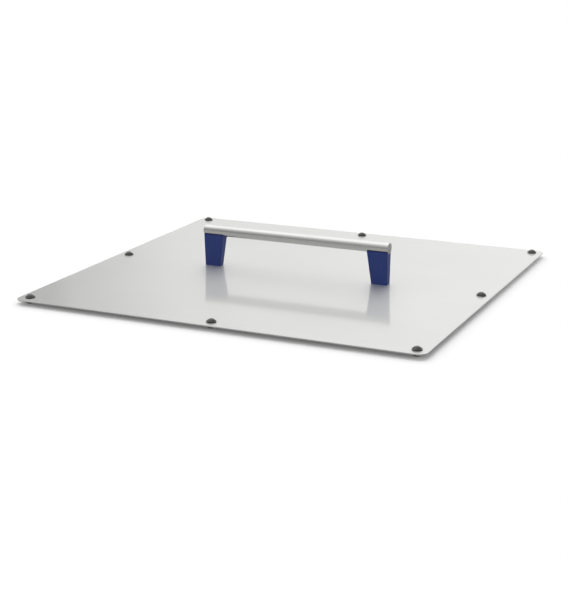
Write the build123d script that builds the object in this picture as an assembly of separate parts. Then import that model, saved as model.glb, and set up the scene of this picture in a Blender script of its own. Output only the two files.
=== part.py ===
from build123d import *
import os

# Rectangular cover plate: a flat steel sheet with a bar handle on two moulded legs and eight rubber bumpers.
# Millimetres. +X runs along the front edge to the right, +Y to the back, +Z up.
# The origin is under the middle of the plate, on the surface that the bumpers' feet stand on.

# Plate
plate_width = 600.0
plate_depth = 560.0
plate_thickness = 2.0
plate_corner_radius = 12.0
plate_edge_round = 0.4

# Rubber bumpers, each one piece: a dome on the plate, a neck through it and a foot under it
bumper_inset = 16.0
dome_diameter = 13.4
dome_height = 5.0
dome_lip = 0.6
neck_diameter = 8.0
neck_clearance = 0.1
foot_top_diameter = 13.0
foot_end_diameter = 11.0
foot_height = 5.0
foot_edge_round = 0.6
foot_recess_diameter = 4.6
foot_recess_depth = 2.2

# Handle bar: a round tube closed at each end by a turned plug
bar_diameter = 16.0
bar_wall = 2.0
bar_length = 295.0
bar_end_chamfer = 0.5
grip_clearance = 45.4  # from the plate up to the underside of the bar
end_plug_clearance = 0.05
end_plug_past_screw = 10.0
end_plug_chamfer = 0.4

# Moulded legs: outer face nearly upright, inner face leaning, narrower at the foot than under the bar
leg_setback = 0.8  # from the bar's end in to the leg's outer face
leg_head_length = 31.7
leg_foot_length = 24.5
leg_foot_depth = 12.5
leg_outer_draft = 0.5
leg_wrap = 2.9  # how far the leg's shoulders stand up past the underside of the bar
leg_corner_radius = 1.6
leg_shoulder_round = 0.5
saddle_clearance = 0.15
core_wall = 2.2
core_corner_radius = 1.2
core_roof = 12.0  # solid plastic left between the cored pockets and the bar
screw_boss_diameter = 9.6

# Button head screws and plain washers, from below
screw_diameter = 5.0
screw_passage_clearance = 0.2
thread_clearance = 0.05
thread_reach = 0.8  # share of the tube's bore that the screw runs into
thread_run_out = 1.0
screw_end_chamfer = 0.6
screw_head_diameter = 9.5
screw_head_height = 2.75
screw_head_lip = 0.4
socket_across_flats = 3.0
socket_depth = 1.56
washer_diameter = 10.0
washer_thickness = 1.0

# Heights
plate_underside = foot_height
plate_top = plate_underside + plate_thickness
bar_radius = bar_diameter / 2
bar_underside = plate_top + grip_clearance
bar_axis = bar_underside + bar_radius
bore_radius = bar_radius - bar_wall
leg_head_top = bar_underside + leg_wrap

# Places along X, for the right-hand end of the handle
bar_end = bar_length / 2
leg_head_outer = bar_end - leg_setback
leg_foot_outer = leg_head_outer - leg_outer_draft
screw_place = leg_foot_outer - leg_foot_length / 2

# Fits
bumper_hole_radius = neck_diameter / 2 + neck_clearance
screw_passage_radius = screw_diameter / 2 + screw_passage_clearance
tapped_radius = screw_diameter / 2 + thread_clearance
thread_engagement = thread_reach * 2 * bore_radius
tapped_depth = thread_engagement + thread_run_out
screw_length = washer_thickness + plate_thickness + grip_clearance + bar_wall + thread_engagement

bumper_x = plate_width / 2 - bumper_inset
bumper_y = plate_depth / 2 - bumper_inset
bumper_places = {
    "bumper_front_left": (-bumper_x, -bumper_y),
    "bumper_front_middle": (0, -bumper_y),
    "bumper_front_right": (bumper_x, -bumper_y),
    "bumper_middle_left": (-bumper_x, 0),
    "bumper_middle_right": (bumper_x, 0),
    "bumper_back_left": (-bumper_x, bumper_y),
    "bumper_back_middle": (0, bumper_y),
    "bumper_back_right": (bumper_x, bumper_y),
}


def crown_arc(rim, pole):
    # A round cap's profile from its rim to its pole on the axis, each as (radius, height).
    rise = pole[1] - rim[1]
    return RadiusArc(rim, pole, -(rim[0] ** 2 + rise**2) / (2 * rise))


def upright_hole(x, y, bottom, top, radius):
    return Pos(x, y, bottom) * extrude(Circle(radius), top - bottom)


def cover_plate():
    blank = extrude(RectangleRounded(plate_width, plate_depth, plate_corner_radius), plate_thickness)
    sheet = Pos(0, 0, plate_underside) * blank
    sheet = fillet(sheet.faces().filter_by(Axis.Z).edges(), plate_edge_round)
    for x, y in bumper_places.values():
        sheet -= upright_hole(x, y, plate_underside, plate_top, bumper_hole_radius)
    for side in (-1, 1):
        sheet -= upright_hole(side * screw_place, 0, plate_underside, plate_top, screw_passage_radius)
    return sheet


def bumper():
    # Turned about Z with the plate's top at zero, so the neck fills the plate and both shoulders grip it.
    dome_radius = dome_diameter / 2
    foot_end = -plate_thickness - foot_height
    dome = crown_arc((dome_radius, dome_lip), (0, dome_height))
    below = Polyline(
        (0, dome_height),
        (0, foot_end + foot_recess_depth),
        (foot_recess_diameter / 2, foot_end + foot_recess_depth),
        (foot_recess_diameter / 2, foot_end),
        (foot_end_diameter / 2, foot_end),
        (foot_top_diameter / 2, -plate_thickness),
        (neck_diameter / 2, -plate_thickness),
        (neck_diameter / 2, 0),
        (dome_radius, 0),
        (dome_radius, dome_lip),
    )
    profile = make_face(dome + below)
    foot_corner = profile.vertices().group_by(Axis.Y)[0].sort_by(Axis.X)[-1]
    return revolve(Plane.XZ * fillet(foot_corner, foot_edge_round), Axis.Z)


def handle_bar():
    ring = Circle(bar_radius) - Circle(bore_radius)
    tube = Pos(0, 0, bar_axis) * extrude(Plane.YZ * ring, bar_end, both=True)
    rims = tube.edges().filter_by(GeomType.CIRCLE).filter_by(lambda rim: rim.radius > bore_radius)
    tube = chamfer(rims, bar_end_chamfer)
    for side in (-1, 1):
        tube -= upright_hole(side * screw_place, 0, bar_underside, bar_axis, screw_passage_radius)
    return tube


def end_plug():
    radius = bore_radius - end_plug_clearance
    length = bar_end - screw_place + end_plug_past_screw
    plug = Plane.YZ * extrude(Circle(radius), -length)
    plug = Pos(bar_end, 0, bar_axis) * chamfer(plug.edges().filter_by(GeomType.CIRCLE), end_plug_chamfer)
    tapped_top = bar_underside + bar_wall + tapped_depth
    return plug - upright_hole(screw_place, 0, bar_underside, tapped_top, tapped_radius)


def handle_leg():
    def outline(outer, length, depth, height):
        section = RectangleRounded(length, depth, leg_corner_radius)
        return Pos(outer - length / 2, 0, height) * section

    leg = loft(
        [
            outline(leg_foot_outer, leg_foot_length, leg_foot_depth, plate_top),
            outline(leg_head_outer, leg_head_length, bar_diameter, leg_head_top),
        ],
        ruled=True,
    )
    leg = fillet(leg.faces().sort_by(Axis.Z)[-1].edges(), leg_shoulder_round)
    saddle = Plane.YZ * Circle(bar_radius + saddle_clearance)
    leg -= Pos(0, 0, bar_axis) * extrude(saddle, bar_length)
    leg -= upright_hole(screw_place, 0, plate_top, bar_axis, screw_passage_radius)

    # Two pockets rise from the foot, one each side of the screw boss.
    pocket_length = (leg_foot_length - screw_boss_diameter) / 2 - core_wall
    pocket_depth = leg_foot_depth - 2 * core_wall
    pocket_offset = (screw_boss_diameter + pocket_length) / 2
    pocket_outline = RectangleRounded(pocket_length, pocket_depth, core_corner_radius)
    pocket = extrude(pocket_outline, grip_clearance - core_roof)
    for side in (-1, 1):
        leg -= Pos(screw_place + side * pocket_offset, 0, plate_top) * pocket
    return leg


def screw():
    # The bearing face of the head is at zero, with the shank upwards.
    head_radius = screw_head_diameter / 2
    head = crown_arc((head_radius, -screw_head_lip), (0, -screw_head_height))
    shank = Polyline(
        (head_radius, -screw_head_lip),
        (head_radius, 0),
        (screw_diameter / 2, 0),
        (screw_diameter / 2, screw_length - screw_end_chamfer),
        (screw_diameter / 2 - screw_end_chamfer, screw_length),
        (0, screw_length),
        (0, -screw_head_height),
    )
    turned = revolve(Plane.XZ * make_face(head + shank), Axis.Z)
    socket = RegularPolygon(socket_across_flats / 2, 6, major_radius=False)
    return turned - Pos(0, 0, -screw_head_height) * extrude(socket, socket_depth)


def washer():
    ring = Circle(washer_diameter / 2) - Circle(screw_passage_radius)
    return extrude(ring, -washer_thickness)


right_end = {
    "end_plug": end_plug(),
    "handle_leg": handle_leg(),
    "handle_washer": Pos(screw_place, 0, plate_underside) * washer(),
    "handle_screw": Pos(screw_place, 0, plate_underside - washer_thickness) * screw(),
}

pieces = {"cover_plate": cover_plate(), "handle_bar": handle_bar()}
for name, piece in right_end.items():
    pieces[name + "_right"] = piece
    pieces[name + "_left"] = Rot(0, 0, 180) * piece
one_bumper = bumper()
for name, (x, y) in bumper_places.items():
    pieces[name] = Pos(x, y, plate_top) * one_bumper

os.makedirs("parts", exist_ok=True)
for name, piece in pieces.items():
    export_step(piece, f"parts/{name}.step")
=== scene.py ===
"""Rectangular steel cover plate with a bar handle on two blue legs and eight rubber bumpers."""

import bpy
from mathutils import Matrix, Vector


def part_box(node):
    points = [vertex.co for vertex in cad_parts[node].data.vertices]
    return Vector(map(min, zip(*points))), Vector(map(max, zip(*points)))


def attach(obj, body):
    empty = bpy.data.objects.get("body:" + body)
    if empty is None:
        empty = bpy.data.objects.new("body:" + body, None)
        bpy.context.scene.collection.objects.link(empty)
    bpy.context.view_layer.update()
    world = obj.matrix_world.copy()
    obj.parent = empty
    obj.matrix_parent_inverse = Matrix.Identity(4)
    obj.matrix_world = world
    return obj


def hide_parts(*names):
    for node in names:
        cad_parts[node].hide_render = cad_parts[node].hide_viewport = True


bl_info = {
    "name": "Cover Plate",
    "version": (1, 0, 0),
    "blender": (4, 5, 0),
    "location": "View3D > Sidebar > Cover Plate",
    "description": "Dresses a steel cover plate with its handle, bumpers, fasteners and a plain studio",
    "category": "Object",
}

import math

import bmesh
import bpy
from mathutils import Matrix, Vector

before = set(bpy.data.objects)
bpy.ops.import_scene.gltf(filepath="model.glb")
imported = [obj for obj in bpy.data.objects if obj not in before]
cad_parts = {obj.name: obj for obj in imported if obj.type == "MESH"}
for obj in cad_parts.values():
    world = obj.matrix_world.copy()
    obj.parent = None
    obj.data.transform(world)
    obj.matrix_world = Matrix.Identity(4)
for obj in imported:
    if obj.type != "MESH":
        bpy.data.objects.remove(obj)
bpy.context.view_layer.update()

MM = 0.001

BUMPER_NODES = [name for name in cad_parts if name.startswith("bumper_")]
SIDES = {"right": 1, "left": -1}

plate_low, plate_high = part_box("cover_plate")
bar_low, bar_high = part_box("handle_bar")
leg_low, leg_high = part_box("handle_leg_right")
plug_low, plug_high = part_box("end_plug_right")
screw_low, screw_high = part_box("handle_screw_right")
bumper_low, bumper_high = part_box("bumper_front_middle")
washer_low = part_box("handle_washer_right")[0]

PLATE_TOP = plate_high[2]
PLATE_UNDERSIDE = plate_low[2]
BAR_RADIUS = (bar_high[2] - bar_low[2]) / 2
BAR_AXIS = (bar_high[2] + bar_low[2]) / 2
BAR_END = bar_high[0]
SCREW_X = (screw_low[0] + screw_high[0]) / 2

# Sides of the round forms
BAR_SIDES = 96
PLUG_SIDES = 72
SADDLE_SIDES = 128
BUMPER_SIDES = 48
SCREW_SIDES = 32
HOLE_SIDES = 40

# The part of its range that a noise mostly stays in
NOISE_LOW = 0.3
NOISE_HIGH = 0.7

# The shortest edge that counts as an upright one
UPRIGHT_LENGTH = 10 * MM

FLOOR_SIZE = 30.0
FILM_WIDTH = 36.0  # millimetres, as the lens is
VIEW_LIMIT = 100.0


# ---------------------------------------------------------------- sizes and colours a user may change

class HandleSettings(bpy.types.PropertyGroup):
    """Sizes of the bar, its end plugs and its legs"""

    bar_wall: bpy.props.FloatProperty(
        name="Bar wall", description="Thickness of the tube's wall", default=2.0 * MM, unit="LENGTH")
    bar_chamfer: bpy.props.FloatProperty(
        name="Bar end break", description="Rounding of the tube's outer rim",
        default=0.5 * MM, unit="LENGTH")
    plug_chamfer: bpy.props.FloatProperty(
        name="Plug break", description="Chamfer round the end plug", default=0.4 * MM, unit="LENGTH")
    head_length: bpy.props.FloatProperty(
        name="Leg head length", description="Length of the leg under the bar",
        default=31.7 * MM, unit="LENGTH")
    foot_length: bpy.props.FloatProperty(
        name="Leg foot length", description="Length of the leg on the plate",
        default=24.5 * MM, unit="LENGTH")
    foot_depth: bpy.props.FloatProperty(
        name="Leg foot depth", description="Depth of the leg on the plate",
        default=12.5 * MM, unit="LENGTH")
    outer_draft: bpy.props.FloatProperty(
        name="Outer draft", description="Lean of the leg's outer face", default=0.5 * MM, unit="LENGTH")
    corner_radius: bpy.props.FloatProperty(
        name="Leg corner radius", description="Radius of the upright edges",
        default=1.6 * MM, unit="LENGTH")
    shoulder_round: bpy.props.FloatProperty(
        name="Shoulder round", description="Rounding of the leg's top rim", default=0.5 * MM, unit="LENGTH")
    saddle_clearance: bpy.props.FloatProperty(
        name="Saddle clearance", description="Gap between leg and bar", default=0.15 * MM, unit="LENGTH")
    screw_hole: bpy.props.FloatProperty(
        name="Screw hole", description="Radius of the screw's way through leg and tube", default=2.7 * MM,
        unit="LENGTH")
    tapped_hole: bpy.props.FloatProperty(
        name="Tapped hole", description="Radius of the hole in the end plug",
        default=2.55 * MM, unit="LENGTH")
    tapped_depth: bpy.props.FloatProperty(
        name="Tapped depth", description="Depth of the hole in the end plug",
        default=10.6 * MM, unit="LENGTH")
    core_wall: bpy.props.FloatProperty(
        name="Core wall", description="Plastic left round the cored pockets",
        default=2.2 * MM, unit="LENGTH")
    core_roof: bpy.props.FloatProperty(
        name="Core roof", description="Plastic left above the cored pockets",
        default=12.0 * MM, unit="LENGTH")
    core_corner: bpy.props.FloatProperty(
        name="Core corner", description="Radius of the pockets' corners", default=1.2 * MM, unit="LENGTH")
    boss: bpy.props.FloatProperty(
        name="Screw boss", description="Diameter of the boss round the screw",
        default=9.6 * MM, unit="LENGTH")


class BumperSettings(bpy.types.PropertyGroup):
    """Sizes of a rubber bumper"""

    lip: bpy.props.FloatProperty(
        name="Lip", description="Height of the upright rim under the crown",
        default=1.9 * MM, unit="LENGTH")
    lip_round: bpy.props.FloatProperty(
        name="Lip round", description="Rounding of the rim's shoulder", default=0.35 * MM, unit="LENGTH")
    step: bpy.props.FloatProperty(
        name="Step", description="How far the crown stands in from the rim",
        default=1.15 * MM, unit="LENGTH")
    neck: bpy.props.FloatProperty(
        name="Neck", description="Diameter of the neck in the plate", default=8.0 * MM, unit="LENGTH")
    foot_top: bpy.props.FloatProperty(
        name="Foot top", description="Diameter of the foot under the plate",
        default=13.0 * MM, unit="LENGTH")
    foot_end: bpy.props.FloatProperty(
        name="Foot end", description="Diameter of the foot's standing face",
        default=11.0 * MM, unit="LENGTH")
    foot_round: bpy.props.FloatProperty(
        name="Foot round", description="Rounding of the foot's lower rim", default=0.6 * MM, unit="LENGTH")
    recess: bpy.props.FloatProperty(
        name="Recess", description="Diameter of the hollow in the foot", default=4.6 * MM, unit="LENGTH")
    recess_depth: bpy.props.FloatProperty(
        name="Recess depth", description="Depth of the hollow in the foot", default=2.2 * MM, unit="LENGTH")


class ScrewSettings(bpy.types.PropertyGroup):
    """Sizes of a handle screw"""

    shank: bpy.props.FloatProperty(
        name="Shank", description="Outside diameter of the thread", default=5.0 * MM, unit="LENGTH")
    pitch: bpy.props.FloatProperty(
        name="Pitch", description="Distance between thread crests", default=0.8 * MM, unit="LENGTH")
    thread_depth: bpy.props.FloatProperty(
        name="Thread depth", description="From crest to root", default=0.45 * MM, unit="LENGTH")
    thread_length: bpy.props.FloatProperty(
        name="Thread length", description="Threaded stretch of the shank", default=16.0 * MM, unit="LENGTH")
    head_height: bpy.props.FloatProperty(
        name="Head height", description="Height of the domed head", default=2.75 * MM, unit="LENGTH")
    head_lip: bpy.props.FloatProperty(
        name="Head lip", description="Upright rim of the head", default=0.4 * MM, unit="LENGTH")
    socket: bpy.props.FloatProperty(
        name="Socket", description="Hexagon socket across its flats", default=3.0 * MM, unit="LENGTH")
    socket_depth: bpy.props.FloatProperty(
        name="Socket depth", description="Depth of the hexagon socket", default=1.56 * MM, unit="LENGTH")


class FinishSettings(bpy.types.PropertyGroup):
    """Colours of the finishes"""

    plate_steel: bpy.props.FloatVectorProperty(
        name="Plate steel", description="Colour of the satin sheet", subtype="COLOR",
        default=(0.80, 0.80, 0.79))
    plate_haze: bpy.props.FloatProperty(
        name="Plate haze", description="Share of the sheet's reflection that is hazy", subtype="FACTOR",
        default=0.73)
    bar_steel: bpy.props.FloatVectorProperty(
        name="Bar steel", description="Colour of the ground tube", subtype="COLOR",
        default=(0.74, 0.74, 0.72))
    # Painted shade: how far the bar and its plugs are darkened underneath and on their cut ends.
    painted_shade_under: bpy.props.FloatProperty(
        name="Bar underside", description="Share of its colour that the bar keeps underneath",
        subtype="FACTOR", default=0.62)
    painted_shade_on_ends: bpy.props.FloatProperty(
        name="Bar end", description="Share of its colour that the bar keeps on its cut ends",
        subtype="FACTOR", default=0.55)
    leg_blue: bpy.props.FloatVectorProperty(
        name="Leg blue", description="Colour of the moulded legs", subtype="COLOR",
        default=(0.021, 0.043, 0.195))
    rubber: bpy.props.FloatVectorProperty(
        name="Rubber", description="Colour of the bumpers", subtype="COLOR", default=(0.026, 0.026, 0.025))
    # Painted light: how much lighter the bumpers' colour is made on up-facing surfaces.
    painted_light_on_top: bpy.props.FloatProperty(
        name="Painted top light", description="How much lighter the bumpers are on top", default=3.2)
    fastener: bpy.props.FloatVectorProperty(
        name="Fastener steel", description="Colour of screws and washers", subtype="COLOR",
        default=(0.60, 0.60, 0.59))


class StageSettings(bpy.types.PropertyGroup):
    """Camera, lamps and surroundings"""

    eye: bpy.props.FloatVectorProperty(
        name="Eye", description="Place of the camera above the middle of the plate", subtype="TRANSLATION",
        default=(0.8141, -1.7837, 0.5285))
    heading: bpy.props.FloatProperty(
        name="Heading", description="Turn of the view from the plate's depth direction", subtype="ANGLE",
        default=math.radians(-25.02))
    tilt: bpy.props.FloatProperty(
        name="Tilt", description="How far the view looks down", subtype="ANGLE",
        default=math.radians(16.17))
    roll: bpy.props.FloatProperty(
        name="Roll", description="Turn of the camera about its own line of sight", subtype="ANGLE",
        default=math.radians(-0.30))
    lens: bpy.props.FloatProperty(
        name="Lens", description="Focal length in millimetres on a 36 mm frame", default=82.75)
    floor_colour: bpy.props.FloatProperty(
        name="Floor colour", description="Grey level of the floor", subtype="FACTOR", default=0.9)
    floor_mirrored: bpy.props.FloatProperty(
        name="Floor mirrored", description="Grey level of the near floor as steel mirrors it",
        subtype="FACTOR", default=0.4)
    floor_lift: bpy.props.FloatProperty(
        name="Floor lift", description="Light added to the floor as the camera sees it", default=0.08)
    ambient_low: bpy.props.FloatProperty(
        name="Ambient low", description="Level of the light on matt surfaces from low down all round",
        default=0.90)
    ambient_high: bpy.props.FloatProperty(
        name="Ambient high", description="Level of the light on matt surfaces from overhead", default=0.37)
    key_strength: bpy.props.FloatProperty(
        name="Key strength", description="Strength of the key light from the far left", default=2.75)
    key_angle: bpy.props.FloatProperty(
        name="Key size", description="Angle that the key light spans", subtype="ANGLE",
        default=math.radians(62))
    key_from: bpy.props.FloatVectorProperty(
        name="Key from", description="Direction of the key light", subtype="DIRECTION",
        default=(-0.43, 0.76, 0.60))
    near_low: bpy.props.FloatProperty(
        name="Near low", description="Reflected level of the room low down on the near side", default=0.28)
    near_high: bpy.props.FloatProperty(
        name="Near high", description="Reflected level of the room high up on the near side", default=0.68)
    far_level: bpy.props.FloatProperty(
        name="Far level", description="Reflected level of the room on the far side", default=1.26)
    right_level: bpy.props.FloatProperty(
        name="Right level", description="Share of light left on the right-hand side of the room",
        default=0.32)
    flag_level: bpy.props.FloatProperty(
        name="Flag level", description="Share of light left on the dark flag at the far left", default=0.02)
    flag_heading: bpy.props.FloatProperty(
        name="Flag heading", description="Direction of the dark flag's edge", subtype="ANGLE",
        default=math.radians(-34.5))


# ---------------------------------------------------------------- modelling helpers

def deselect():
    """Back to object mode with nothing selected."""
    if bpy.context.object and bpy.context.object.mode != "OBJECT":
        bpy.ops.object.mode_set(mode="OBJECT")
    bpy.ops.object.select_all(action="DESELECT")


def started(name):
    """Names the primitive that was just added and returns it."""
    piece = bpy.context.object
    piece.name = name
    piece.data.name = name
    return piece


def edit(piece, kind="FACE"):
    """Edit mode on one piece, with nothing selected in it."""
    deselect()
    piece.select_set(True)
    bpy.context.view_layer.objects.active = piece
    bpy.ops.object.mode_set(mode="EDIT")
    bpy.ops.mesh.select_mode(type=kind)
    bpy.ops.mesh.select_all(action="DESELECT")


def pick_faces(piece, wanted):
    """Selects the faces for which wanted(centre, normal) holds."""
    edit(piece, "FACE")
    shape = bmesh.from_edit_mesh(piece.data)
    for face in shape.faces:
        face.select_set(wanted(face.calc_center_median(), face.normal))
    shape.select_flush_mode()
    bmesh.update_edit_mesh(piece.data)


def pick_edges(piece, wanted):
    """Selects the edges for which wanted(one end, other end) holds."""
    edit(piece, "EDGE")
    shape = bmesh.from_edit_mesh(piece.data)
    for edge in shape.edges:
        edge.select_set(wanted(edge.verts[0].co, edge.verts[1].co))
    shape.select_flush_mode()
    bmesh.update_edit_mesh(piece.data)


def runs_up(start, end):
    """True for the upright edges of a leg or a pocket."""
    return abs(start.z - end.z) > UPRIGHT_LENGTH


def lies_across(start, end):
    """True for the edges of the two end faces of a body along X."""
    return abs(start.x - end.x) < MM


def settle(piece):
    """Puts the piece's place, turn and scale into its mesh."""
    deselect()
    piece.select_set(True)
    bpy.context.view_layer.objects.active = piece
    bpy.ops.object.transform_apply(location=True, rotation=True, scale=True)


def cut(piece, cutter):
    """Takes the cutter's volume out of the piece and removes the cutter."""
    settle(cutter)
    deselect()
    piece.select_set(True)
    bpy.context.view_layer.objects.active = piece
    bpy.ops.object.modifier_add(type="BOOLEAN")
    trim = piece.modifiers[-1]
    trim.operation = "DIFFERENCE"
    trim.solver = "EXACT"
    trim.object = cutter
    bpy.ops.object.modifier_apply(modifier=trim.name)
    bpy.data.objects.remove(cutter, do_unlink=True)


def drill(piece, radius, bottom, top, x):
    """Bores an upright round hole into the piece."""
    deselect()
    bpy.ops.mesh.primitive_cylinder_add(
        vertices=HOLE_SIDES, radius=radius, depth=top - bottom, location=(x, 0, (top + bottom) / 2))
    cut(piece, started("drill"))


def smooth(piece, angle=math.radians(35)):
    """Smooth shading that keeps real edges, with flat faces kept flat."""
    deselect()
    piece.select_set(True)
    bpy.context.view_layer.objects.active = piece
    bpy.ops.object.shade_smooth_by_angle(angle=angle)
    bpy.ops.object.modifier_add(type="WEIGHTED_NORMAL")
    level = piece.modifiers[-1]
    level.keep_sharp = True
    bpy.ops.object.modifier_apply(modifier=level.name)


def stack_rings(name, rings, sides):
    """A turned body about Z, pulled up ring by ring from the first (radius, height) to the last."""
    radius, height = rings[0]
    deselect()
    bpy.ops.mesh.primitive_circle_add(
        vertices=sides, radius=radius, fill_type="NGON", location=(0, 0, height))
    piece = started(name)
    settle(piece)
    bpy.ops.object.mode_set(mode="EDIT")
    bpy.ops.mesh.select_mode(type="FACE")
    bpy.ops.mesh.select_all(action="SELECT")
    for wider, higher in rings[1:]:
        bpy.ops.mesh.extrude_region_move(TRANSFORM_OT_translate={"value": (0, 0, higher - height)})
        scale = wider / radius
        bpy.ops.transform.resize(value=(scale, scale, 1), center_override=(0, 0, higher))
        radius, height = wider, higher
    bpy.ops.mesh.select_all(action="SELECT")
    bpy.ops.mesh.normals_make_consistent(inside=False)
    deselect()
    return piece


def copied(piece, name, turn=0.0, shift=(0, 0, 0)):
    """A copy with its own mesh, turned about Z and moved, with its place in its mesh."""
    deselect()
    piece.select_set(True)
    bpy.context.view_layer.objects.active = piece
    bpy.ops.object.duplicate(linked=False)
    twin = started(name)
    twin.data.transform(Matrix.Translation(shift) @ Matrix.Rotation(turn, 4, "Z"))
    return twin


def hand_over(piece, node, material):
    """Gives a finished piece its finish and lets it stand for a CAD node."""
    piece.data.materials.clear()
    piece.data.materials.append(material)
    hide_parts(node)
    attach(piece, "root")


# ---------------------------------------------------------------- finishes

def new_finish(name):
    """An empty node material with its shader and its object coordinates."""
    material = bpy.data.materials.new(name)
    material.use_nodes = True
    nodes = material.node_tree.nodes
    nodes.clear()
    output = nodes.new("ShaderNodeOutputMaterial")
    shader = nodes.new("ShaderNodeBsdfPrincipled")
    place = nodes.new("ShaderNodeTexCoord")
    material.node_tree.links.new(shader.outputs["BSDF"], output.inputs["Surface"])
    return material, nodes, material.node_tree.links, shader, place


def grain(nodes, links, place, stretch, detail=3.0, roughness=0.55):
    """Noise on object coordinates; stretch is how many specks fit in a metre along X, Y and Z."""
    mapping = nodes.new("ShaderNodeMapping")
    mapping.inputs["Scale"].default_value = stretch
    noise = nodes.new("ShaderNodeTexNoise")
    noise.inputs["Scale"].default_value = 1.0
    noise.inputs["Detail"].default_value = detail
    noise.inputs["Roughness"].default_value = roughness
    links.new(place.outputs["Object"], mapping.inputs["Vector"])
    links.new(mapping.outputs["Vector"], noise.inputs["Vector"])
    return noise.outputs["Fac"]


def spread(nodes, links, value, low, high, out_low, out_high, kind="LINEAR"):
    """Maps a value from its own range to another, whose ends are numbers or sockets."""
    span = nodes.new("ShaderNodeMapRange")
    span.interpolation_type = kind
    span.inputs["From Min"].default_value = low
    span.inputs["From Max"].default_value = high
    for socket, end in (("To Min", out_low), ("To Max", out_high)):
        if isinstance(end, (int, float)):
            span.inputs[socket].default_value = end
        else:
            links.new(end, span.inputs[socket])
    links.new(value, span.inputs["Value"])
    return span.outputs["Result"]


def tint(nodes, links, value, dark, light):
    """A colour that wanders between two shades with a noise value."""
    ramp = nodes.new("ShaderNodeValToRGB")
    ramp.color_ramp.elements[0].position = NOISE_LOW
    ramp.color_ramp.elements[0].color = (*dark, 1)
    ramp.color_ramp.elements[1].position = NOISE_HIGH
    ramp.color_ramp.elements[1].color = (*light, 1)
    links.new(value, ramp.inputs["Fac"])
    return ramp.outputs["Color"]


def relief(nodes, links, shader, value, strength, distance):
    """Fine relief from a noise value."""
    bump = nodes.new("ShaderNodeBump")
    bump.inputs["Strength"].default_value = strength
    bump.inputs["Distance"].default_value = distance
    links.new(value, bump.inputs["Height"])
    links.new(bump.outputs["Normal"], shader.inputs["Normal"])


def shaded(colour, factor):
    """The colour made darker or lighter by a factor."""
    return tuple(min(1.0, channel * factor) for channel in colour)


def plate_finish(finish):
    """Satin sheet: a clear reflection under a wide haze, with a long fine grain along X and faint clouds."""
    material, nodes, links, clear, place = new_finish("satin_sheet")
    clouds = grain(nodes, links, place, (6, 9, 9), detail=2.0)
    lines = grain(nodes, links, place, (14, 2600, 2600), detail=4.0)
    colour = finish.plate_steel
    shade = tint(nodes, links, clouds, shaded(colour, 0.985), shaded(colour, 1.01))
    hazy = nodes.new("ShaderNodeBsdfPrincipled")
    both = nodes.new("ShaderNodeMixShader")
    both.inputs["Fac"].default_value = finish.plate_haze
    links.new(clear.outputs["BSDF"], both.inputs[1])
    links.new(hazy.outputs["BSDF"], both.inputs[2])
    clear_roughness, hazy_roughness = (0.070, 0.105), (0.58, 0.68)
    for shader, (low, high) in ((clear, clear_roughness), (hazy, hazy_roughness)):
        links.new(shade, shader.inputs["Base Color"])
        links.new(spread(nodes, links, lines, NOISE_LOW, NOISE_HIGH, low, high), shader.inputs["Roughness"])
        relief(nodes, links, shader, lines, 0.08, 0.02 * MM)
        shader.inputs["Metallic"].default_value = 1.0
    links.new(both.outputs[0], nodes["Material Output"].inputs["Surface"])
    return material


def bar_finish(finish):
    """Centreless-ground tube: fine rings round the bar, and painted shade that darkens it underneath and on
    its cut ends.
    """
    material, nodes, links, shader, place = new_finish("ground_tube")
    rings = grain(nodes, links, place, (3200, 30, 30), detail=3.0)
    drift = grain(nodes, links, place, (30, 60, 60), detail=2.0)
    colour = finish.bar_steel
    shade = tint(nodes, links, drift, shaded(colour, 0.97), shaded(colour, 1.02))
    surface = nodes.new("ShaderNodeNewGeometry")
    facing = nodes.new("ShaderNodeSeparateXYZ")
    links.new(surface.outputs["Normal"], facing.inputs[0])
    # Painted shade: the colour is darkened on the underside and on both cut ends, those of the end plugs too.
    underneath = spread(nodes, links, facing.outputs["Z"], -0.9, 0.2, finish.painted_shade_under, 1.0)
    right_end = spread(nodes, links, facing.outputs["X"], 0.8, 0.98, underneath, finish.painted_shade_on_ends)
    dull = spread(nodes, links, facing.outputs["X"], -0.98, -0.8, finish.painted_shade_on_ends, right_end)
    darker = nodes.new("ShaderNodeVectorMath")
    darker.operation = "SCALE"
    links.new(shade, darker.inputs[0])
    links.new(dull, darker.inputs["Scale"])
    links.new(darker.outputs[0], shader.inputs["Base Color"])
    links.new(spread(nodes, links, rings, NOISE_LOW, NOISE_HIGH, 0.16, 0.24), shader.inputs["Roughness"])
    relief(nodes, links, shader, rings, 0.12, 0.02 * MM)
    shader.inputs["Metallic"].default_value = 1.0
    return material


def leg_finish(finish):
    """Dark blue moulded plastic with a fine eroded grain."""
    material, nodes, links, shader, place = new_finish("blue_moulding")
    pits = grain(nodes, links, place, (2600, 2600, 2600), detail=2.0)
    flow = grain(nodes, links, place, (60, 60, 25), detail=2.0)
    colour = finish.leg_blue
    shade = tint(nodes, links, flow, shaded(colour, 0.94), shaded(colour, 1.06))
    links.new(shade, shader.inputs["Base Color"])
    links.new(spread(nodes, links, pits, NOISE_LOW, NOISE_HIGH, 0.40, 0.50), shader.inputs["Roughness"])
    relief(nodes, links, shader, pits, 0.18, 0.04 * MM)
    shader.inputs["Specular IOR Level"].default_value = 0.3
    return material


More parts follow.
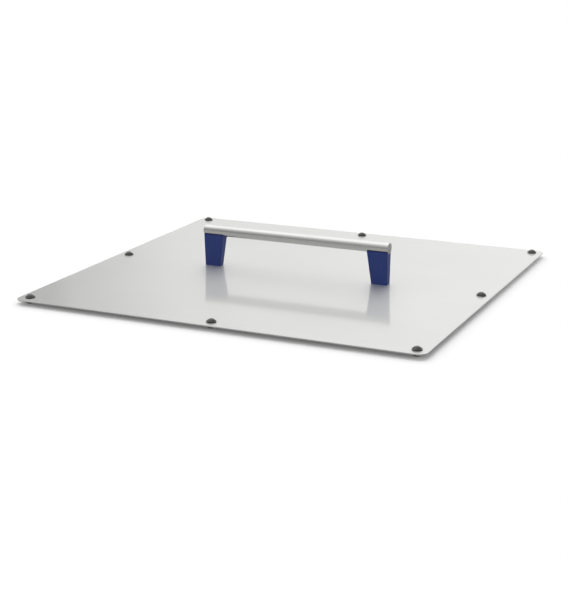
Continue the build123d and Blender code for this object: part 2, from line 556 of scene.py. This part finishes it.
def rubber_finish(finish):
    """Black moulded rubber with a soft sheen, and painted light that makes its colour lighter on top."""
    material, nodes, links, shader, place = new_finish("black_rubber")
    pores = grain(nodes, links, place, (1800, 1800, 1800), detail=3.0)
    bloom = grain(nodes, links, place, (160, 160, 160), detail=2.0)
    colour = finish.rubber
    shade = tint(nodes, links, bloom, shaded(colour, 0.85), shaded(colour, 1.25))
    surface = nodes.new("ShaderNodeNewGeometry")
    facing = nodes.new("ShaderNodeSeparateXYZ")
    links.new(surface.outputs["Normal"], facing.inputs[0])
    # Painted light: up-facing surfaces get a colour several times lighter than the sides.
    lit_on_top = nodes.new("ShaderNodeVectorMath")
    lit_on_top.operation = "SCALE"
    links.new(shade, lit_on_top.inputs[0])
    links.new(spread(nodes, links, facing.outputs["Z"], 0.3, 0.95, 1.0, finish.painted_light_on_top), lit_on_top.inputs["Scale"])
    links.new(lit_on_top.outputs[0], shader.inputs["Base Color"])
    links.new(spread(nodes, links, pores, NOISE_LOW, NOISE_HIGH, 0.34, 0.48), shader.inputs["Roughness"])
    relief(nodes, links, shader, pores, 0.2, 0.05 * MM)
    shader.inputs["Specular IOR Level"].default_value = 0.75
    return material


def fastener_finish(finish):
    """Plain stainless fasteners with a dull turned face."""
    material, nodes, links, shader, place = new_finish("fastener_steel")
    turned = grain(nodes, links, place, (900, 900, 2400), detail=3.0)
    colour = finish.fastener
    shade = tint(nodes, links, turned, shaded(colour, 0.9), shaded(colour, 1.05))
    links.new(shade, shader.inputs["Base Color"])
    links.new(spread(nodes, links, turned, NOISE_LOW, NOISE_HIGH, 0.28, 0.4), shader.inputs["Roughness"])
    relief(nodes, links, shader, turned, 0.1, 0.02 * MM)
    shader.inputs["Metallic"].default_value = 1.0
    return material


FINISHES = {
    "satin_sheet": plate_finish,
    "ground_tube": bar_finish,
    "blue_moulding": leg_finish,
    "black_rubber": rubber_finish,
    "fastener_steel": fastener_finish,
}


def finish_named(name):
    """The finish of that name, made once."""
    return bpy.data.materials.get(name) or FINISHES[name](bpy.context.scene.cover_finish)


# ---------------------------------------------------------------- operators

class COVER_OT_sheet(bpy.types.Operator):
    """Gives the flat sheet and the washers their finish"""

    bl_idname = "cover.sheet"
    bl_label = "Plate and washers"

    def execute(self, context):
        finishes = {"cover_plate": "satin_sheet"}
        for side in SIDES:
            finishes["handle_washer_" + side] = "fastener_steel"
        for node, name in finishes.items():
            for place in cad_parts[node].material_slots:
                place.material = finish_named(name)
        return {"FINISHED"}


class COVER_OT_bar(bpy.types.Operator):
    """Models the tube of the handle, with its bore and its two cross holes"""

    bl_idname = "cover.bar"
    bl_label = "Handle bar"

    def execute(self, context):
        sizes = context.scene.cover_handle
        deselect()
        bpy.ops.mesh.primitive_cylinder_add(
            vertices=BAR_SIDES, radius=BAR_RADIUS, depth=2 * BAR_END, location=(0, 0, BAR_AXIS),
            rotation=(0, math.radians(90), 0))
        bar = started("bar")
        settle(bar)
        pick_edges(bar, lies_across)
        bpy.ops.mesh.bevel(offset=sizes.bar_chamfer, segments=3, affect="EDGES")
        pick_faces(bar, lambda centre, normal: abs(normal.x) > 0.99)
        bpy.ops.mesh.inset(thickness=sizes.bar_wall - sizes.bar_chamfer)
        bpy.ops.mesh.bridge_edge_loops()
        deselect()
        for sign in SIDES.values():
            drill(bar, sizes.screw_hole, bar_low[2] - MM, BAR_AXIS, sign * SCREW_X)
        smooth(bar)
        hand_over(bar, "handle_bar", finish_named("ground_tube"))
        return {"FINISHED"}


class COVER_OT_plugs(bpy.types.Operator):
    """Models the turned plugs that close the tube and take the screws"""

    bl_idname = "cover.plugs"
    bl_label = "End plugs"

    def execute(self, context):
        sizes = context.scene.cover_handle
        radius = (plug_high[2] - plug_low[2]) / 2
        length = plug_high[0] - plug_low[0]
        deselect()
        bpy.ops.mesh.primitive_cylinder_add(
            vertices=PLUG_SIDES, radius=radius, depth=length, rotation=(0, math.radians(90), 0),
            location=((plug_high[0] + plug_low[0]) / 2, 0, BAR_AXIS))
        plug = started("plug_right")
        settle(plug)
        pick_edges(plug, lies_across)
        bpy.ops.mesh.bevel(offset=sizes.plug_chamfer, segments=2, affect="EDGES")
        deselect()
        drill(plug, sizes.tapped_hole, plug_low[2] - MM, plug_low[2] + sizes.tapped_depth, SCREW_X)
        smooth(plug)
        twin = copied(plug, "plug_left", turn=math.pi)
        hand_over(plug, "end_plug_right", finish_named("ground_tube"))
        hand_over(twin, "end_plug_left", finish_named("ground_tube"))
        return {"FINISHED"}


class COVER_OT_legs(bpy.types.Operator):
    """Models the moulded legs, with their saddle, screw hole and cored foot"""

    bl_idname = "cover.legs"
    bl_label = "Handle legs"

    def execute(self, context):
        sizes = context.scene.cover_handle
        foot, head = leg_low[2], leg_high[2]
        outer = leg_high[0]
        deselect()
        bpy.ops.mesh.primitive_cube_add(
            size=1, location=(outer - sizes.head_length / 2, 0, (foot + head) / 2),
            scale=(sizes.head_length, 2 * BAR_RADIUS, head - foot))
        leg = started("leg_right")
        settle(leg)
        pick_faces(leg, lambda centre, normal: normal.z < -0.9)
        bpy.ops.transform.resize(
            value=(sizes.foot_length / sizes.head_length, sizes.foot_depth / (2 * BAR_RADIUS), 1),
            center_override=(outer, 0, foot))
        bpy.ops.transform.translate(value=(-sizes.outer_draft, 0, 0))
        pick_edges(leg, runs_up)
        bpy.ops.mesh.bevel(offset=sizes.corner_radius, segments=6, affect="EDGES")
        pick_edges(leg, lambda a, b: min(a.z, b.z) > head - 0.01 * MM)
        bpy.ops.mesh.bevel(offset=sizes.shoulder_round, segments=3, affect="EDGES")
        deselect()

        bpy.ops.mesh.primitive_cylinder_add(
            vertices=SADDLE_SIDES, radius=BAR_RADIUS + sizes.saddle_clearance, depth=4 * sizes.head_length,
            location=(outer, 0, BAR_AXIS), rotation=(0, math.radians(90), 0))
        cut(leg, started("saddle"))
        drill(leg, sizes.screw_hole, foot - MM, head, SCREW_X)

        length = (sizes.foot_length - sizes.boss) / 2 - sizes.core_wall
        height = bar_low[2] - foot - sizes.core_roof
        for sign in SIDES.values():
            deselect()
            bpy.ops.mesh.primitive_cube_add(
                size=1, location=(SCREW_X + sign * (sizes.boss + length) / 2, 0, foot + height / 2 - MM),
                scale=(length, sizes.foot_depth - 2 * sizes.core_wall, height + 2 * MM))
            pocket = started("pocket")
            settle(pocket)
            pick_edges(pocket, runs_up)
            bpy.ops.mesh.bevel(offset=sizes.core_corner, segments=4, affect="EDGES")
            cut(leg, pocket)
        smooth(leg)
        twin = copied(leg, "leg_left", turn=math.pi)
        hand_over(leg, "handle_leg_right", finish_named("blue_moulding"))
        hand_over(twin, "handle_leg_left", finish_named("blue_moulding"))
        return {"FINISHED"}


class COVER_OT_bumpers(bpy.types.Operator):
    """Models one rubber bumper and sets a copy in each hole of the plate"""

    bl_idname = "cover.bumpers"
    bl_label = "Bumpers"

    dome_steps = 9

    def execute(self, context):
        sizes = context.scene.cover_bumper
        rim = (bumper_high[0] - bumper_low[0]) / 2
        bottom, top = bumper_low[2], bumper_high[2]
        # The foot's lower rim and the shoulder under the crown are each rounded in two short steps.
        rings = [
            (sizes.recess / 2, bottom + sizes.recess_depth),
            (sizes.recess / 2, bottom),
            (sizes.foot_end / 2 - sizes.foot_round, bottom),
            (sizes.foot_end / 2 - 0.1 * sizes.foot_round, bottom + 0.3 * sizes.foot_round),
            (sizes.foot_end / 2 + 0.1 * sizes.foot_round, bottom + sizes.foot_round),
            (sizes.foot_top / 2, PLATE_UNDERSIDE),
            (sizes.neck / 2, PLATE_UNDERSIDE),
            (sizes.neck / 2, PLATE_TOP),
            (rim, PLATE_TOP),
            (rim, PLATE_TOP + sizes.lip - sizes.lip_round),
            (rim - 0.3 * sizes.lip_round, PLATE_TOP + sizes.lip - 0.3 * sizes.lip_round),
            (rim - sizes.lip_round, PLATE_TOP + sizes.lip),
        ]
        foot = rim - sizes.step
        rise = top - PLATE_TOP - sizes.lip
        crown = (foot**2 + rise**2) / (2 * rise)
        widest = math.asin(foot / crown)
        for step in range(self.dome_steps):
            angle = widest * (1 - step / self.dome_steps)
            rings.append((crown * math.sin(angle), top - crown * (1 - math.cos(angle))))
        bumper = stack_rings("bumper", rings, BUMPER_SIDES)
        smooth(bumper, math.radians(40))
        for node in BUMPER_NODES:
            low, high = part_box(node)
            middle = ((low[0] + high[0]) / 2, (low[1] + high[1]) / 2, 0)
            hand_over(copied(bumper, node.replace("bumper_", "stud_"), shift=middle), node,
                      finish_named("black_rubber"))
        bpy.data.objects.remove(bumper, do_unlink=True)
        return {"FINISHED"}


class COVER_OT_screws(bpy.types.Operator):
    """Models the two button head screws, with ring grooves for a thread and a hexagon socket"""

    bl_idname = "cover.screws"
    bl_label = "Handle screws"

    crown_steps = 5

    def execute(self, context):
        sizes = context.scene.cover_screw
        head = (screw_high[0] - screw_low[0]) / 2
        seat = washer_low[2]
        crown_end = seat - sizes.head_height
        rise = sizes.head_height - sizes.head_lip
        crown = (head**2 + rise**2) / (2 * rise)
        widest = math.asin(head / crown)
        rings = []
        for step in range(2, self.crown_steps):
            angle = widest * step / self.crown_steps
            rings.append((crown * math.sin(angle), crown_end + crown * (1 - math.cos(angle))))
        rings += [(head, seat - sizes.head_lip), (head, seat), (sizes.shank / 2, seat)]
        crest, root = sizes.shank / 2, sizes.shank / 2 - sizes.thread_depth

        # Ring grooves stand for the thread: each has its crest, then a flat root, then the next crest.
        height = screw_high[2] - sizes.thread_length
        while height < screw_high[2] - sizes.pitch:
            rings += [(crest, height), (root, height + 0.4 * sizes.pitch), (root, height + 0.6 * sizes.pitch)]
            height += sizes.pitch
        rings += [(crest, height), (root, screw_high[2])]
        screw = stack_rings("screw", rings, SCREW_SIDES)
        deselect()
        bpy.ops.mesh.primitive_cylinder_add(
            vertices=6, radius=sizes.socket / math.sqrt(3), depth=2 * sizes.socket_depth,
            location=(0, 0, crown_end))
        cut(screw, started("hexagon"))
        smooth(screw)
        for side, sign in SIDES.items():
            hand_over(copied(screw, "screw_" + side, shift=(sign * SCREW_X, 0, 0)), "handle_screw_" + side,
                      finish_named("fastener_steel"))
        bpy.data.objects.remove(screw, do_unlink=True)
        return {"FINISHED"}


def room_light(stage):
    """The room: white to the camera, a studio with a dark flag in reflections, soft light on matt surfaces.

    Every range here is on one component of the ray's direction, from -1 to 1.
    """
    world = bpy.data.worlds.new("studio")
    bpy.context.scene.world = world
    world.use_nodes = True
    nodes, links = world.node_tree.nodes, world.node_tree.links
    nodes.clear()

    def ramp(value, low, high, out_low, out_high):
        return spread(nodes, links, value, low, high, out_low, out_high, kind="SMOOTHSTEP")

    def product(first, second):
        times = nodes.new("ShaderNodeMath")
        times.operation = "MULTIPLY"
        links.new(first, times.inputs[0])
        links.new(second, times.inputs[1])
        return times.outputs[0]

    sight = nodes.new("ShaderNodeTexCoord")
    parts = nodes.new("ShaderNodeSeparateXYZ")
    links.new(sight.outputs["Generated"], parts.inputs[0])

    # In reflections: lighter with height on the near side, a little darker to its left, lightest far off.
    near = ramp(parts.outputs["Z"], 0.0, 1.0, stage.near_low, stage.near_high)
    near = product(near, ramp(parts.outputs["X"], -0.55, -0.25, 0.85, 1.08))
    level = ramp(parts.outputs["Y"], -0.7, 0.1, near, stage.far_level)

    # The flag is on the far side, left of its edge. The wall right of it lightens in two steps, and all of it
    # ends higher up.
    beside_level, beyond_level = 0.28, 0.78
    edge_softness = 0.008
    across = nodes.new("ShaderNodeVectorMath")
    across.operation = "DOT_PRODUCT"
    across.inputs[1].default_value = (math.cos(stage.flag_heading), -math.sin(stage.flag_heading), 0)
    links.new(sight.outputs["Generated"], across.inputs[0])
    beyond = ramp(across.outputs["Value"], 0.08, 0.45, beyond_level, 1.0)
    beside = ramp(across.outputs["Value"], 0.0, 0.1, beside_level, beyond)
    edge = ramp(across.outputs["Value"], -edge_softness, edge_softness, stage.flag_level, beside)
    far_side = ramp(parts.outputs["Y"], 0.0, 0.3, 1.0, edge)
    flag = ramp(parts.outputs["Z"], 0.40, 0.62, far_side, 1.0)
    right_side = ramp(parts.outputs["X"], 0.0, 0.4, 1.0, stage.right_level)

    def glow(strength):
        light = nodes.new("ShaderNodeBackground")
        light.inputs["Color"].default_value = (1, 1, 1, 1)
        if isinstance(strength, float):
            light.inputs["Strength"].default_value = strength
        else:
            links.new(strength, light.inputs["Strength"])
        return light.outputs[0]

    def chosen(ray, otherwise, then):
        either = nodes.new("ShaderNodeMixShader")
        links.new(path.outputs[ray], either.inputs["Fac"])
        links.new(otherwise, either.inputs[1])
        links.new(then, either.inputs[2])
        return either.outputs[0]

    path = nodes.new("ShaderNodeLightPath")
    output = nodes.new("ShaderNodeOutputWorld")
    ambient = ramp(parts.outputs["Z"], 0.25, 0.9, stage.ambient_low, stage.ambient_high)
    seen = chosen("Is Glossy Ray", glow(ambient), glow(product(product(level, flag), right_side)))
    links.new(chosen("Is Camera Ray", seen, glow(1.0)), output.inputs["Surface"])


def floor_finish(stage):
    """Pale floor, lifted to white for the camera while it keeps the shadow."""
    material = bpy.data.materials.new("pale_floor")
    material.use_nodes = True
    nodes, links = material.node_tree.nodes, material.node_tree.links
    nodes.clear()
    matt = nodes.new("ShaderNodeBsdfDiffuse")
    place = nodes.new("ShaderNodeTexCoord")
    parts = nodes.new("ShaderNodeSeparateXYZ")
    links.new(place.outputs["Object"], parts.inputs[0])
    grey = nodes.new("ShaderNodeMapRange")
    grey.inputs["To Min"].default_value = stage.floor_colour
    # Painted shade: in reflections only, the near floor takes a darker grey than the camera sees.
    links.new(spread(nodes, links, parts.outputs["Y"], -0.2, 0.3, stage.floor_mirrored, stage.floor_colour),
              grey.inputs["To Max"])
    lift = nodes.new("ShaderNodeEmission")
    path = nodes.new("ShaderNodeLightPath")
    amount = nodes.new("ShaderNodeMath")
    amount.operation = "MULTIPLY"
    amount.inputs[1].default_value = stage.floor_lift
    both = nodes.new("ShaderNodeAddShader")
    output = nodes.new("ShaderNodeOutputMaterial")
    links.new(path.outputs["Is Glossy Ray"], grey.inputs["Value"])
    links.new(grey.outputs["Result"], matt.inputs["Color"])
    links.new(path.outputs["Is Camera Ray"], amount.inputs[0])
    links.new(amount.outputs[0], lift.inputs["Strength"])
    links.new(matt.outputs[0], both.inputs[0])
    links.new(lift.outputs[0], both.inputs[1])
    links.new(both.outputs[0], output.inputs["Surface"])
    return material


class COVER_OT_stage(bpy.types.Operator):
    """Sets the floor, the room, the key lamp and the camera"""

    bl_idname = "cover.stage"
    bl_label = "Stage"

    def execute(self, context):
        stage = context.scene.cover_stage
        deselect()
        bpy.ops.mesh.primitive_plane_add(size=FLOOR_SIZE, location=(0, 0, 0))
        floor = started("floor")
        floor.data.materials.append(floor_finish(stage))

        room_light(stage)

        lamp = bpy.data.lights.new("key", "SUN")
        lamp.energy = stage.key_strength
        lamp.angle = stage.key_angle
        key = bpy.data.objects.new("key", lamp)
        bpy.context.collection.objects.link(key)
        key.rotation_euler = (-Vector(stage.key_from)).to_track_quat("-Z", "Y").to_euler()
        key.visible_glossy = False  # steel mirrors the room alone

        forward = Vector((math.sin(stage.heading) * math.cos(stage.tilt),
                          math.cos(stage.heading) * math.cos(stage.tilt), -math.sin(stage.tilt)))
        level = Vector((math.cos(stage.heading), -math.sin(stage.heading), 0))
        upward = level.cross(forward)
        right = level * math.cos(stage.roll) + upward * math.sin(stage.roll)
        up = upward * math.cos(stage.roll) - level * math.sin(stage.roll)
        lens = bpy.data.cameras.new("camera")
        lens.lens = stage.lens
        lens.sensor_width = FILM_WIDTH
        lens.clip_end = VIEW_LIMIT
        camera = bpy.data.objects.new("camera", lens)
        bpy.context.collection.objects.link(camera)
        turn = Matrix((right, up, -forward)).transposed().to_4x4()
        camera.matrix_world = Matrix.Translation(Vector(stage.eye) + Vector((0, 0, PLATE_TOP))) @ turn
        context.scene.camera = camera
        context.scene.view_settings.view_transform = "Standard"
        return {"FINISHED"}


class VIEW3D_PT_cover(bpy.types.Panel):
    """Lists the steps that dress the cover plate"""

    bl_idname = "VIEW3D_PT_cover"
    bl_label = "Cover Plate"
    bl_space_type = "VIEW_3D"
    bl_region_type = "UI"
    bl_category = "Cover Plate"

    def draw(self, context):
        for step in STEPS:
            self.layout.operator(step.bl_idname)
        for group in SETTINGS:
            box = self.layout.box()
            settings = getattr(context.scene, group)
            for name in settings.bl_rna.properties.keys():
                if name not in ("rna_type", "name"):
                    box.prop(settings, name)


STEPS = (COVER_OT_sheet, COVER_OT_bar, COVER_OT_plugs, COVER_OT_legs, COVER_OT_bumpers, COVER_OT_screws,
         COVER_OT_stage)
SETTINGS = {
    "cover_handle": HandleSettings,
    "cover_bumper": BumperSettings,
    "cover_screw": ScrewSettings,
    "cover_finish": FinishSettings,
    "cover_stage": StageSettings,
}


def register():
    """Adds the settings, the steps and the panel to Blender."""
    for part in (*SETTINGS.values(), *STEPS, VIEW3D_PT_cover):
        bpy.utils.register_class(part)
    for name, group in SETTINGS.items():
        setattr(bpy.types.Scene, name, bpy.props.PointerProperty(type=group))


def unregister():
    """Takes them out again."""
    for name in SETTINGS:
        delattr(bpy.types.Scene, name)
    for part in reversed((*SETTINGS.values(), *STEPS, VIEW3D_PT_cover)):
        bpy.utils.unregister_class(part)


def main():
    """Runs every step."""
    register()
    for step in STEPS:
        family, action = step.bl_idname.split(".")
        getattr(getattr(bpy.ops, family), action)()


if __name__ == "__main__":
    main()
